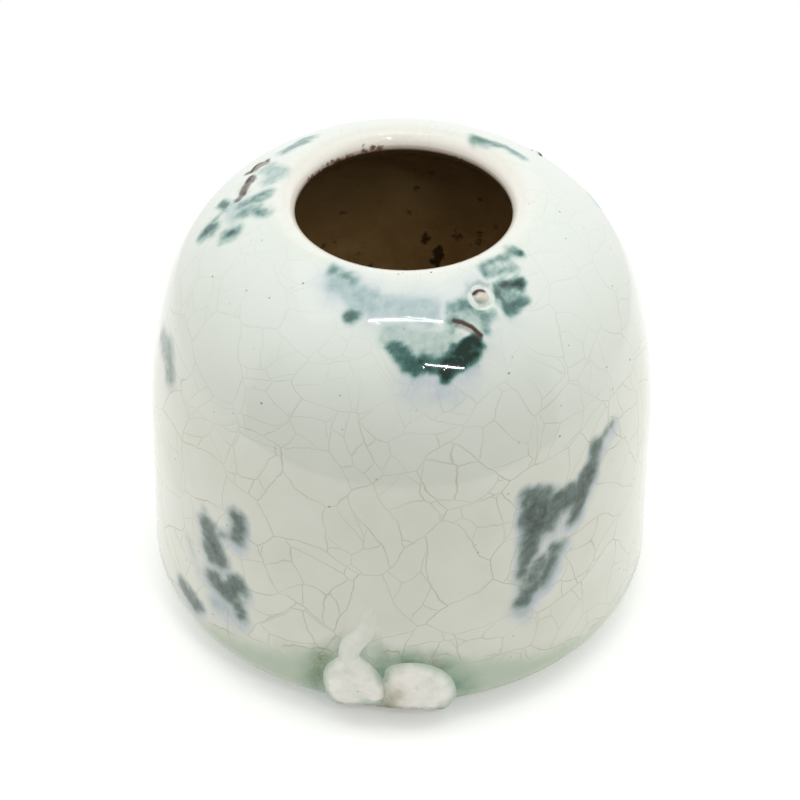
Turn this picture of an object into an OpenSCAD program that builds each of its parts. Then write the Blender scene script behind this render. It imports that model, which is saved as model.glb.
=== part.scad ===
// Domed porcelain water pot on three fungus-shaped feet, as used beside an ink stone. Millimetres, +Z up.
// The origin lies on the table under the middle of the pot, and the front foot faces -Y.

/* [Body] */
// Outside diameter of the glazed wall
body_d = 96; // [88:1:120]
// Height of the underside above the table
base_gap = 2; // [1:0.5:4]
// Outside radius of the rounded lower edge
edge_round = 9; // [7.5:0.5:14]
// Height at which the straight wall starts to close in
wall_top = 40; // [32:1:56]
// Thickness of the thrown clay wall and floor
clay_wall = 5.6; // [3:0.2:6.4]
// Distance of the luting seam below the top of the straight wall
seam_drop = 4; // [2:1:12]

/* [Dome] */
// Radius of the slow curve above the wall
haunch_r = 105; // [80:1:140]
// Angle through which the slow curve turns
haunch_turn = 15.5; // [10:0.5:20]
// Radius of the shoulder
shoulder_r = 29; // [22:1:32]
// Slope angle at which the shoulder gives way to the crown
shoulder_end = 54.5; // [48:0.5:60]
// Radius of the crown
crown_r = 56; // [48:1:70]
// Clear diameter of the mouth inside the glazed lip
mouth_d = 40; // [34:1:46]

/* [Glaze] */
// Thickness of the outer glaze
glaze_t = 0.5; // [0.3:0.1:0.8]
// Thickness of the coat inside
coat_t = 0.4; // [0.3:0.1:0.6]
// Distance the outer glaze returns under the pot, inside the rounded edge
glaze_return = 2; // [1:0.5:6]
// Angle round the lip where the outer glaze ends and the inner coat begins, 180 being the narrowest place
coat_angle = 185; // [176:1:200]

/* [Feet] */
// Turn of all the feet round the pot, leftwards as seen from the front
feet_turn = 2; // [-20:1:20]
// Length of the left lobe along its slope
left_lobe_l = 23; // [20:0.5:28]
// Full width of the left lobe
left_lobe_w = 15; // [12:0.2:17]
// Length of the right lobe along its slope
right_lobe_l = 20.6; // [19:0.2:26]
// Full width of the right lobe
right_lobe_w = 16; // [12:0.2:17]
// Full thickness of a lobe, of which the pot hides most
lobe_t = 10.6; // [9:0.2:14]
// Lean of a lobe, its lower end under the pot
lobe_lean = 25; // [15:1:35]
// Distance of the lobes' middles from the middle of the foot
lobe_spread = 5.8; // [5:0.1:7]
// Height of the lobes' fronts above the wall
lobe_relief = 2.6; // [2:0.1:4]
// Depth by which the lobes are flattened where they stand
foot_flat = 0.7; // [0.4:0.1:1.5]
// Radius of the thumb hollow in a lobe
dish_r = 9; // [6:0.5:14]
// Depth of the thumb hollow
dish_depth = 0.8; // [0.4:0.1:1.2]

/* [Stalks] */
// Thickness of a stalk's coil at its root
stalk_d = 4.4; // [3.4:0.1:5]
// Thickness of a stalk's coil at its tip
stalk_tip_d = 2.6; // [2.4:0.1:3.2]
// Height of a stalk's coil above the wall
stalk_relief = 1.4; // [1:0.1:2]
// Radius of a stalk's two bends
stalk_bend = 7; // [5:0.5:10]
// Angle of each bend
stalk_turn = 51; // [30:1:70]
// Distance of a stalk's root from the middle of the foot
stalk_side = 8.6; // [6:0.2:10]
// Length of the root that is tucked behind the lobe
stalk_tuck = 3; // [2:0.5:6]

/* [Hidden] */
FEET = ["front_foot", "right_foot", "left_foot"];

// Largest step of a turned curve, in degrees
curve_step = 3;
$fn = 240;

body_r = body_d / 2;
clay_in = glaze_t + clay_wall;
coat_in = clay_in + coat_t;
seam_z = wall_top - seam_drop;
bare_r = body_r - edge_round - glaze_return;

// Middles of the curves, each on the line through the end of the curve before it
edge_mid = [body_r - edge_round, base_gap + edge_round];
haunch_mid = [body_r - haunch_r, wall_top];
shoulder_mid = haunch_mid + (haunch_r - shoulder_r) * way(haunch_turn);
crown_mid = shoulder_mid + (shoulder_r - crown_r) * way(shoulder_end);

// The lip is the full round end of the wall
lip_r = clay_wall / 2;
lip_out = lip_r + glaze_t;
lip_x = mouth_d / 2 + lip_out;
lip_turn = acos((lip_x - crown_mid.x) / (crown_r - lip_out));
lip_mid = crown_mid + (crown_r - lip_out) * way(lip_turn);

// Width, thickness and length of each lobe
left_lobe = [left_lobe_w, lobe_t, left_lobe_l];
right_lobe = [right_lobe_w, lobe_t, right_lobe_l];

stalk_z = 2 * lobe_down(left_lobe) - foot_flat - stalk_tuck;
stalk_rings = 14;
stalk_sides = 12;
// Angles of the rings that round off a stalk's tip
tip_lifts = [30, 60];
foot_step = 360 / len(FEET);

function way(angle) = [cos(angle), sin(angle)];

// How far a leaning lobe reaches down and out from its middle
function lobe_down(size) = norm([size.z * cos(lobe_lean), size.y * sin(lobe_lean)]) / 2;
function lobe_out(size) = norm([size.z * sin(lobe_lean), size.y * cos(lobe_lean)]) / 2;
function reversed(points) = [for (i = [len(points) - 1 : -1 : 0]) points[i]];

// Points of an arc after its start, from angle a to angle b
function arc(mid, r, a, b) =
    let (steps = ceil(abs(b - a) / curve_step))
    [for (i = [1 : steps]) mid + r * way(a + (b - a) * i / steps)];

// Outline of the pot at a depth under its glazed face: its lower part up to height z, then its upper part
function lower_line(depth, z) = concat(
    [[edge_mid.x, base_gap + depth]],
    arc(edge_mid, edge_round - depth, -90, 0),
    [[body_r - depth, z]]
);
function upper_line(depth) = concat(
    arc(haunch_mid, haunch_r - depth, 0, haunch_turn),
    arc(shoulder_mid, shoulder_r - depth, haunch_turn, shoulder_end),
    arc(crown_mid, crown_r - depth, shoulder_end, lip_turn)
);

// A place on the wall: out from its face, then sideways along it, and up
function wall_point(out, place) =
    let (angle = place.x / body_r * 180 / PI)
    [(body_r + out) * sin(angle), -(body_r + out) * cos(angle), place.y];

// Sideways place, height and heading of a stalk's middle, t running from 0 at the root to 2 at the tip
function stalk_place(t) =
    let (angle = stalk_turn * min(t, 2 - t))
    let (run = stalk_bend * (1 - cos(angle)), rise = stalk_bend * sin(angle))
    let (half_run = stalk_bend * (1 - cos(stalk_turn)), half_rise = stalk_bend * sin(stalk_turn))
    t <= 1 ? [run - stalk_side, stalk_z + rise, angle]
        : [2 * half_run - run - stalk_side, stalk_z + 2 * half_rise - rise, angle];

// Ring of points round a stalk's middle, lifted and drawn in by the lift angle where it closes the tip
function stalk_ring(t, lift) =
    let (place = stalk_place(t), root_r = stalk_d / 2, tip_r = stalk_tip_d / 2)
    let (r = root_r + (tip_r - root_r) * t / 2)
    [for (k = [0 : stalk_sides - 1])
        let (spoke = r * cos(lift) * way(360 * k / stalk_sides))
        wall_point(
            stalk_relief - r + spoke.y,
            [place.x + spoke.x * cos(place.z), place.y - spoke.x * sin(place.z) + r * sin(lift)]
        )];
function next_side(k) = (k + 1) % stalk_sides;
function band(start, k) =
    let (a = start + k, b = start + next_side(k))
    [[a, b, b + stalk_sides], [a, b + stalk_sides, a + stalk_sides]];

module turned(points) {
    rotate_extrude() polygon(points);
}

// Lower thrown section: floor, rounded edge and wall up to the seam
module base_bowl() {
    color("#DDD3C2")
    turned(concat(
        [[0, base_gap + glaze_t]],
        lower_line(glaze_t, seam_z),
        reversed(lower_line(clay_in, seam_z)),
        [[0, base_gap + clay_in]]
    ));
}

// Upper thrown section, luted on the lower one and closed in to the mouth
module shoulder_dome() {
    color("#DDD3C2")
    turned(concat(
        [[body_r - glaze_t, seam_z], [body_r - glaze_t, wall_top]],
        upper_line(glaze_t),
        reversed(upper_line(clay_in)),
        [[body_r - clay_in, wall_top], [body_r - clay_in, seam_z]]
    ));
}

// Rolled lip round the mouth
module mouth_lip() {
    color("#E4DCCB")
    turned(concat([lip_mid + lip_r * way(lip_turn)], arc(lip_mid, lip_r, lip_turn, lip_turn + 180)));
}

// Crackled glaze, from under the lower edge up over the lip, open where the feet are luted on
module outer_glaze() {
    color("#DCE5DC")
    difference() {
        turned(concat(
            [[bare_r, base_gap]],
            lower_line(0, wall_top),
            upper_line(0),
            arc(lip_mid, lip_out, lip_turn, coat_angle),
            [lip_mid + lip_r * way(coat_angle)],
            arc(lip_mid, lip_r, coat_angle, lip_turn),
            reversed(upper_line(glaze_t)),
            reversed(lower_line(glaze_t, wall_top)),
            [[bare_r, base_gap + glaze_t]]
        ));
        for (i = [0 : len(FEET) - 1]) at_foot(i) {
            lobe_form(-lobe_spread, left_lobe);
            lobe_form(lobe_spread, right_lobe);
            stalk_form();
        }
    }
}

// Brown coat inside, from the middle of the floor up to the narrowest place of the lip
module inner_glaze() {
    color("#4A3B26")
    turned(concat(
        [[0, base_gap + clay_in]],
        lower_line(clay_in, wall_top),
        upper_line(clay_in),
        arc(lip_mid, lip_r, lip_turn + 180, coat_angle),
        [lip_mid + (lip_r + coat_t) * way(coat_angle)],
        arc(lip_mid, lip_r + coat_t, coat_angle, lip_turn + 180),
        reversed(upper_line(coat_in)),
        reversed(lower_line(coat_in, wall_top)),
        [[0, base_gap + coat_in]]
    ));
}

// Places a foot's pieces, drawn at the front, at the foot's own side of the pot
module at_foot(i) {
    rotate(i * foot_step - feet_turn) children();
}

// The clay pot as one solid, on which the feet are luted
module clay_seat() {
    turned(concat([[0, base_gap + glaze_t]], lower_line(glaze_t, wall_top), [[0, wall_top]]));
}

// Puts a lobe's own upright shape where the lobe leans on the pot, its lower end under the lower edge
module at_lobe(side, size) {
    translate([side, -(body_r + lobe_relief - lobe_out(size)), lobe_down(size) - foot_flat])
    rotate([lobe_lean, 0, 0])
    children();
}

// Egg shape of a lobe
module lobe_form(side, size) {
    at_lobe(side, size) scale(size) sphere(d = 1);
}

// A lobe: flat where it stands, hollowed by the thumb in front, hollow at the back where it sits on the pot
module lobe(side, size) {
    color("#EDE9E1")
    difference() {
        lobe_form(side, size);
        at_lobe(side, size) translate([0, dish_depth - dish_r - size.y / 2, 0]) sphere(dish_r);
        clay_seat();
        translate([-body_r, -body_d, -size.z]) cube([body_d, body_d, size.z]);
    }
}

// Coil with two bends that climbs the wall from behind the left lobe and thins to a round tip
module stalk_form() {
    rings = concat(
        [for (i = [0 : stalk_rings]) stalk_ring(2 * i / stalk_rings, 0)],
        [for (lift = tip_lifts) stalk_ring(2, lift)]
    );
    last = len(rings) * stalk_sides;
    tip = last - stalk_sides;
    points = concat(
        [for (ring = rings) each ring],
        [wall_point(stalk_relief - stalk_d / 2, stalk_place(0)),
            wall_point(stalk_relief - stalk_tip_d / 2, stalk_place(2) + [0, stalk_tip_d / 2, 0])]
    );
    faces = concat(
        [for (i = [0 : len(rings) - 2]) for (k = [0 : stalk_sides - 1]) each band(i * stalk_sides, k)],
        [for (k = [0 : stalk_sides - 1]) [last, next_side(k), k]],
        [for (k = [0 : stalk_sides - 1]) [last + 1, tip + k, tip + next_side(k)]]
    );
    polyhedron(points, faces);
}

// Cuts a piece back where the left lobe lies over it
module clear_of_left_lobe() {
    difference() {
        children();
        lobe_form(-lobe_spread, left_lobe);
    }
}

module stalk() {
    color("#E6E8E0")
    clear_of_left_lobe() difference() {
        stalk_form();
        clay_seat();
    }
}

base_bowl();
shoulder_dome();
mouth_lip();
outer_glaze();
inner_glaze();
for (i = [0 : len(FEET) - 1]) at_foot(i) {
    lobe(-lobe_spread, left_lobe);
    clear_of_left_lobe() lobe(lobe_spread, right_lobe);
    stalk();
}
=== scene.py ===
"""A domed porcelain water pot on three fungus-shaped feet: its finish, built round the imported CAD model.

Lengths are metres in the CAD frame: +Z up, the front foot towards -Y, the table at Z = 0.
"""

from math import acos, cos, pi, radians, sin

import bmesh
import bpy
import numpy as np
from mathutils import Matrix, Vector, noise
from mathutils.bvhtree import BVHTree


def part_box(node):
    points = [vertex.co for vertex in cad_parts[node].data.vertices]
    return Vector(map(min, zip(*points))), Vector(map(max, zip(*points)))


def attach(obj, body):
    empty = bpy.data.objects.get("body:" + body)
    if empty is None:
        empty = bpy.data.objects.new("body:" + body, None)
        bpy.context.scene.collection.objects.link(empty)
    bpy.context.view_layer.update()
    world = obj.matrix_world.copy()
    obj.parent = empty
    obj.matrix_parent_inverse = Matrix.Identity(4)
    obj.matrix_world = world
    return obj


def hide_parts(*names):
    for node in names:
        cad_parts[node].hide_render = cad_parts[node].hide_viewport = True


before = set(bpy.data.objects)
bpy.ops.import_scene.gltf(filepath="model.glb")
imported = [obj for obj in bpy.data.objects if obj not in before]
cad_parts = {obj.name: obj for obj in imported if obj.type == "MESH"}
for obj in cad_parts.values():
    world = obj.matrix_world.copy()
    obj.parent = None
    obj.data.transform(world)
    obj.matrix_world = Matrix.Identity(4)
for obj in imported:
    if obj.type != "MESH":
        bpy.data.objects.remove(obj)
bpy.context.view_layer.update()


# Clay body: the bowl, the dome luted on it and the rolled lip, thrown in grey-white porcelain clay.
# The glaze covers all but the underside, where the biscuit shows chalky, with throwing rings and kiln grit.
MM = 0.001
CLAY_NODES = ("base_bowl", "shoulder_dome", "mouth_lip")
RING_PITCH = 1.9 * MM
GRIT_SIZE = 0.6 * MM
# A wave texture turns through 20 radians for each unit of its scale
WAVE_TURN = 20


def linear(colour):
    """Linear RGBA of an sRGB hex colour."""
    parts = [int(colour[i : i + 2], 16) / 255 for i in (1, 3, 5)]
    return [p / 12.92 if p <= 0.04045 else ((p + 0.055) / 1.055) ** 2.4 for p in parts] + [1]


def feed(node, inputs):
    """Sets a shader node's inputs: each a value, a socket, or a node, whose first output in use feeds it."""
    for name, value in inputs.items():
        if isinstance(value, bpy.types.Node):
            value = next(output for output in value.outputs if output.enabled)
        if isinstance(value, bpy.types.NodeSocket):
            node.id_data.links.new(value, node.inputs[name])
        else:
            node.inputs[name].default_value = value


def add(tree, kind, inputs=None, **settings):
    """Adds a shader node with its settings and inputs; a mix is always one of colours."""
    made = tree.nodes.new("ShaderNode" + kind)
    if kind == "Mix":
        made.data_type = "RGBA"
    for name, value in settings.items():
        setattr(made, name, value)
    feed(made, inputs or {})
    return made


def new_finish(name, roughness, ior):
    """A new material, its node tree, its shader and its object coordinates."""
    material = bpy.data.materials.new(name)
    material.use_nodes = True
    tree = material.node_tree
    shader = tree.nodes["Principled BSDF"]
    feed(shader, {"Roughness": roughness, "IOR": ior})
    return material, tree, shader, add(tree, "TexCoord").outputs["Object"]


# Fired unglazed porcelain: dry and chalky, so the eye sees no gloss, only warm blotches and fine tool rings
biscuit, tree, shader, place = new_finish("biscuit_porcelain", roughness=0.85, ior=1.5)
blotch = add(tree, "TexNoise", {"Vector": place, "Scale": 1 / (14 * MM), "Detail": 4})
grit = add(tree, "TexNoise", {"Vector": place, "Scale": 1 / GRIT_SIZE, "Detail": 2})
rings = add(
    tree,
    "TexWave",
    {"Vector": place, "Scale": 2 * pi / WAVE_TURN / RING_PITCH, "Distortion": 0.6, "Detail": 1},
    wave_type="RINGS",
    rings_direction="Z",
)
warm = add(tree, "Mix", {0: blotch, 6: linear("#DED6C6"), 7: linear("#C8B79C")})
specks = add(tree, "MapRange", {"Value": grit, "From Min": 0.66, "From Max": 0.72})
speckled = add(tree, "Mix", {0: specks, 6: warm, 7: linear("#8F7A5E")})
relief = add(tree, "Math", {0: rings.outputs["Fac"], 1: 0.7, 2: grit}, operation="MULTIPLY_ADD")
bump = add(tree, "Bump", {"Height": relief, "Distance": 0.12 * MM})
feed(shader, {"Base Color": speckled, "Normal": bump})
for node in CLAY_NODES:
    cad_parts[node].data.materials.clear()
    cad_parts[node].data.materials.append(biscuit)


# Feet: three pairs of fungus lobes with a curled stalk, pressed in soft white clay, luted on the lower edge.
# The same white glaze as the wall runs thin on their rims, and celadon gathers in their hollows.
glaze_low, glaze_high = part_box("outer_glaze")
BODY_R = min(glaze_high.x, glaze_high.y)
BASE_Z = glaze_low.z
GLAZE_T = 0.5 * MM
EDGE_ROUND = 9 * MM
EDGE_MID = Vector((BODY_R - EDGE_ROUND, BASE_Z + EDGE_ROUND))
FEET = ("front_foot", "right_foot", "left_foot")
FEET_TURN = radians(2.4)
LOBE_LEAN = radians(25)
LEFT_SIDE = -5.2 * MM
RIGHT_SIDE = 3.9 * MM
# How far a lobe stands out from the wall, and the egg of clay before it was pressed
LOBE_RELIEF = 2.6 * MM
EGG_RELIEF = 2.5 * MM
LOBE_THICK = 10.6 * MM
FOOT_FLAT = 1.5 * MM
LEFT_LOBE = Vector((15.2 * MM, LOBE_THICK, 22.6 * MM))
RIGHT_LOBE = Vector((18.6 * MM, LOBE_THICK, 20.2 * MM))
# Reach of each lobe's toe on the table from the pot's axis, and the slope at which the toe was trimmed
LEFT_TOE = 41.4 * MM
RIGHT_TOE = 41.8 * MM
TOE_SLOPE = 1.12
# Pressed forms of each lobe: places across the foot and up from the table, spread, and height, in mm
LEFT_PRESS = (
    ([(-8.4, 14), (-7, 12)], 2.0, -0.6),
    ([(-7.5, 18.8), (-7.2, 16.6)], 2.2, -1.2),
    ([(-8.6, 19.2), (-6.4, 16.6), (-4, 13.2), (-1.6, 9.6)], 1.7, 0.7),
    ([(-10.4, 17.2), (-11.4, 13), (-10, 8.4)], 1.4, 0.4),
    ([(-5.6, 10.2), (-4, 8.4)], 1.6, -0.6),
    ([(-3, 20.6), (-1.2, 17.2), (1.2, 13.8)], 2.7, -3.2),
)
RIGHT_PRESS = (
    ([(-3.6, 18.4), (-3.2, 14), (-3.6, 11), (-4.4, 5)], 2.5, -2.7),
    ([(8, 13.8), (9, 11.6)], 2.0, -0.8),
    ([(5.4, 12.5)], 0.45, -0.7),
    ([(1, 15.4), (5.6, 17), (9.4, 15.6), (11.2, 12.2), (10.6, 8.6)], 1.6, 0.4),
    ([(4.4, 14.4), (5.6, 10.4)], 1.4, 0.3),
    ([(-0.8, 14), (0, 10), (-0.4, 6)], 1.5, -0.6),
    ([(3, 8), (6, 7.4)], 1.4, -0.4),
)
# Kiln stain in the valley between the lobes, places as above
TAN_STAIN = [(1.8, 11.4), (1.2, 9), (0.2, 6.2)]
TAN_SPREAD = 1.9
# Clay that stands out further than this was levelled off by the press
LEVEL_FROM = 1.0 * MM
# Depth at which a hollow is filled with celadon, and the brown line that the kiln left round a toe
DEEPEST = 3.2
SCAR_WIDTH = 1.1 * MM
# A lobe's edge is drawn out thin on the wall above the first height, and stays round below the second
FLARE = 1.7
FLARE_HEIGHTS = (15 * MM, 9 * MM)
# Unevenness that the fingers left on a lobe: how deep, and over what length
FINGER_MARKS = ((0.6 * MM, 3.6 * MM), (0.22 * MM, 1.5 * MM))


def gap(points, run):
    """Distance of each point from a run of straight stretches, or from one place."""
    nearest = np.full(len(points), np.inf)
    for a, b in zip(run, run[1:] if len(run) > 1 else run):
        along = b - a
        share = np.clip((points - a) @ along / max(along @ along, 1e-12), 0, 1)
        nearest = np.minimum(nearest, np.linalg.norm(points - a - share[:, None] * along, axis=1))
    return nearest


def off_clay(place):
    """Moves a point that lies inside the clay pot out to its face."""
    clay_round = EDGE_ROUND - GLAZE_T
    spread = Vector((place.x, place.y)).length
    out = Vector((spread, place.z)) - EDGE_MID
    if out.y >= 0:
        reach = max(spread, BODY_R - GLAZE_T)
        height = place.z
    elif out.x <= 0:
        reach = spread
        height = min(place.z, BASE_Z + GLAZE_T)
    else:
        out = out.normalized() * max(out.length, clay_round)
        reach, height = EDGE_MID + out
    return Vector((place.x * reach / spread, place.y * reach / spread, height))


def flared(place, relief, share):
    """Draws the edge of a lump out thin where it meets the wall."""
    spread = Vector((place.x, place.y)).length
    stand_out = max(spread - BODY_R, 0)
    thin = relief * (stand_out / relief) ** FLARE
    reach = (spread + share * (thin - stand_out)) / spread
    return Vector((place.x * reach, place.y * reach, place.z))


def pressed_share(points, run, spread):
    """How much a run across the front of a foot touches each point, from 1 on the run down to nothing."""
    places = np.array([(across * MM, up * MM) for across, up in run])
    return np.exp(-((gap(points[:, [0, 2]], places) / (spread * MM)) ** 2))


def pressed_lobe(size, side, toe, presses):
    """A leaning egg of clay at the front, with its forms pressed in, trimmed to the table and to the pot."""
    reach_down = Vector((size.z * cos(LOBE_LEAN), size.y * sin(LOBE_LEAN))).length / 2
    reach_out = Vector((size.z * sin(LOBE_LEAN), size.y * cos(LOBE_LEAN))).length / 2
    bm = bmesh.new()
    bmesh.ops.create_icosphere(bm, subdivisions=6, radius=0.5)
    bmesh.ops.scale(bm, vec=size, verts=bm.verts)
    bmesh.ops.rotate(bm, matrix=Matrix.Rotation(LOBE_LEAN, 3, "X"), verts=bm.verts)
    egg_front = -(BODY_R + EGG_RELIEF)
    bmesh.ops.translate(bm, vec=(side, egg_front + reach_out, reach_down - FOOT_FLAT), verts=bm.verts)
    bm.normal_update()
    points = np.array([v.co for v in bm.verts])
    facing = np.clip([-v.normal.y for v in bm.verts], 0, 1)
    lift = np.zeros(len(points))
    for run, spread, height in presses:
        lift += height * MM * pressed_share(points, run, spread)
    for vertex, rise, front_share in zip(bm.verts, lift, facing):
        wobble = sum(depth * noise.noise(vertex.co / length) for depth, length in FINGER_MARKS)
        vertex.co.y -= (rise + wobble) * front_share
        vertex.co.z = max(vertex.co.z, 0)
        spare = -vertex.co.y - BODY_R - LEVEL_FROM
        if spare > 0:
            room = LOBE_RELIEF - LEVEL_FROM
            vertex.co.y = -(BODY_R + LEVEL_FROM + room * (1 - np.exp(-spare / room)))
        vertex.co.y = max(vertex.co.y, -toe - TOE_SLOPE * vertex.co.z)
        high, low = FLARE_HEIGHTS
        share = min(max((vertex.co.z - low) / (high - low), 0), 1)
        vertex.co = off_clay(flared(vertex.co, LOBE_RELIEF, share))
    return bm


STALK_R = 2.7 * MM
STALK_TIP_R = 1.7 * MM
STALK_RELIEF = 1.15 * MM
STALK_BEND = 11.4 * MM
STALK_TURN = radians(34)
STALK_SIDE = 7.3 * MM
STALK_ROOT = 16.6 * MM
STALK_STEPS = 24
# Rings of its rounded tip: how far each shrinks, and its rise as a share of the tip's radius
STALK_TIP_RINGS = ((0.85, 0.5), (0.6, 0.35), (0.4, 0.15))
# The coil is squeezed wider at its first bend
KNEE_SHARE = 0.45
KNEE_SPREAD = 0.3
KNEE_WIDER = 0.35
# Share of celadon on the coil at its root, and what it gains up to its tip, where the glaze half hides it
STALK_VEIL = 0.25
STALK_VEIL_RISE = 0.68
# Celadon also covers the edge of a lump: how much at the wall, and the height in mm over which it thins out
EDGE_VEIL = 1.1
LOBE_VEIL_TOP = 1.4
STALK_VEIL_TOP = 1.0
# Vertices closer than this are one
WELD = 0.002 * MM


def curled_stalk():
    """A thinning coil with two bends, drawn flat and then wrapped on the wall at the front."""
    bm = bmesh.new()
    bmesh.ops.create_circle(bm, cap_ends=True, segments=20, radius=STALK_R)
    bmesh.ops.translate(bm, vec=(-STALK_SIDE, STALK_R - STALK_RELIEF, STALK_ROOT), verts=bm.verts)
    bm.faces.ensure_lookup_table()
    end = bm.faces[0]
    thinning = (STALK_TIP_R / STALK_R) ** (1 / STALK_STEPS)
    for step in range(STALK_STEPS):
        first_half = step < STALK_STEPS / 2
        middle = end.calc_center_median()
        turn = 2 * STALK_TURN / STALK_STEPS
        rise = STALK_TURN * min(2 * step + 1, 2 * STALK_STEPS - 2 * step - 1) / STALK_STEPS
        stride = STALK_BEND * turn
        end = bmesh.ops.extrude_discrete_faces(bm, faces=[end])["faces"][0]
        bmesh.ops.rotate(
            bm, cent=middle, matrix=Matrix.Rotation(turn if first_half else -turn, 3, "Y"), verts=end.verts
        )
        bmesh.ops.scale(bm, vec=[thinning] * 3, space=Matrix.Translation(-middle), verts=end.verts)
        shift = (stride * sin(rise), STALK_R * thinning**step * (thinning - 1), stride * cos(rise))
        bmesh.ops.translate(bm, vec=shift, verts=end.verts)
    for shrink, rise in STALK_TIP_RINGS:
        middle = end.calc_center_median()
        end = bmesh.ops.extrude_discrete_faces(bm, faces=[end])["faces"][0]
        bmesh.ops.scale(bm, vec=[shrink] * 3, space=Matrix.Translation(-middle), verts=end.verts)
        bmesh.ops.translate(bm, vec=(0, 0, rise * STALK_TIP_R), verts=end.verts)
    rise = 2 * STALK_BEND * sin(STALK_TURN)
    run = 2 * STALK_BEND * (1 - cos(STALK_TURN))
    for vertex in bm.verts:
        share = (vertex.co.z - STALK_ROOT) / rise
        held = min(max(share, 0), 1)
        middle = run * held**2 * (3 - 2 * held) - STALK_SIDE
        knee = KNEE_WIDER * np.exp(-(((share - KNEE_SHARE) / KNEE_SPREAD) ** 2))
        angle = (vertex.co.x + knee * (vertex.co.x - middle)) / BODY_R
        reach = BODY_R - vertex.co.y
        wrapped = Vector((reach * sin(angle), -reach * cos(angle), vertex.co.z))
        vertex.co = off_clay(flared(wrapped, STALK_RELIEF, 1))
    return bm


def shaped(name, bm, material):
    """Makes a smooth object of a bmesh, in one material."""
    mesh = bpy.data.meshes.new(name)
    bm.to_mesh(mesh)
    bm.free()
    mesh.shade_smooth()
    mesh.materials.append(material)
    made = bpy.data.objects.new(name, mesh)
    bpy.context.collection.objects.link(made)
    return made


def finished(name, bm, material, slot, *nodes):
    """Makes a closed piece of a bmesh, fixed on the pot and in the place of its CAD nodes."""
    bmesh.ops.remove_doubles(bm, verts=bm.verts, dist=WELD)
    bmesh.ops.recalc_face_normals(bm, faces=bm.faces)
    piece = shaped(name, bm, material)
    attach(piece, "root")
    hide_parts(*nodes)
    return piece


# White porcelain under clear glaze: wet gloss, warm white on the rims, pale celadon where the glaze is thick
relief_white, tree, shader, place = new_finish("white_relief_glaze", roughness=0.26, ior=1.5)
cloud = add(tree, "TexNoise", {"Vector": place, "Scale": 1 / (3 * MM), "Detail": 4})
white = add(tree, "Mix", {0: cloud, 6: linear("#FBF8F1"), 7: linear("#ECEAE1")})
hollow = add(tree, "Attribute", attribute_name="hollow").outputs["Fac"]
blotch = add(tree, "TexNoise", {"Vector": place, "Scale": 1 / (1.9 * MM), "Detail": 4, "Roughness": 0.65})
uneven = add(
    tree, "MapRange", {"Value": blotch, "From Min": 0.3, "From Max": 0.7, "To Min": -0.2, "To Max": 0.16}
)
gathered = add(tree, "Math", {0: hollow, 1: uneven}, operation="ADD", use_clamp=True)
height = add(tree, "SeparateXYZ", {"Vector": place}).outputs["Z"]
above_pool = add(tree, "MapRange", {"Value": height, "From Min": 15 * MM, "From Max": 24 * MM})
edge_tint = add(tree, "Mix", {0: above_pool, 6: linear("#B6C5B4"), 7: linear("#D6DACD")})
pooled = add(tree, "Mix", {0: gathered, 6: white, 7: edge_tint})
stain = add(tree, "Attribute", attribute_name="tan_stain").outputs["Fac"]
stain_noise = add(tree, "TexNoise", {"Vector": place, "Scale": 1 / (2.2 * MM), "Detail": 3})
stain_amount = add(tree, "Math", {0: stain, 1: stain_noise}, operation="MULTIPLY")
tanned = add(tree, "Mix", {0: stain_amount, 6: pooled, 7: linear("#94824C")})
pits = add(tree, "TexVoronoi", {"Vector": place, "Scale": 1 / (3.2 * MM)})
pit_spot = add(
    tree, "MapRange", {"Value": pits, "From Min": 0.03, "From Max": 0.08, "To Min": 0.8, "To Max": 0}
)
pitted = add(tree, "Mix", {0: pit_spot, 6: tanned, 7: linear("#6E5B42")})
scar = add(tree, "Attribute", attribute_name="kiln_scar").outputs["Fac"]
scarred = add(tree, "Math", {0: scar, 1: stain_noise}, operation="MULTIPLY")
stood = add(tree, "Mix", {0: scarred, 6: pitted, 7: linear("#5E4526")})
peel = add(tree, "TexNoise", {"Vector": place, "Scale": 1 / (1.6 * MM), "Detail": 2})
bump = add(tree, "Bump", {"Height": peel, "Distance": 0.08 * MM})
feed(shader, {"Base Color": stood, "Normal": bump})


def give(piece, name, values):
    """Stores one number a vertex on a piece, for its finish to read."""
    piece.data.attributes.new(name, "FLOAT", "POINT").data.foreach_set("value", np.asarray(values, "f"))


def corners(piece):
    """The vertex places of a piece, one row each."""
    flat = np.empty(len(piece.data.vertices) * 3)
    piece.data.vertices.foreach_get("co", flat)
    return flat.reshape(-1, 3)


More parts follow.
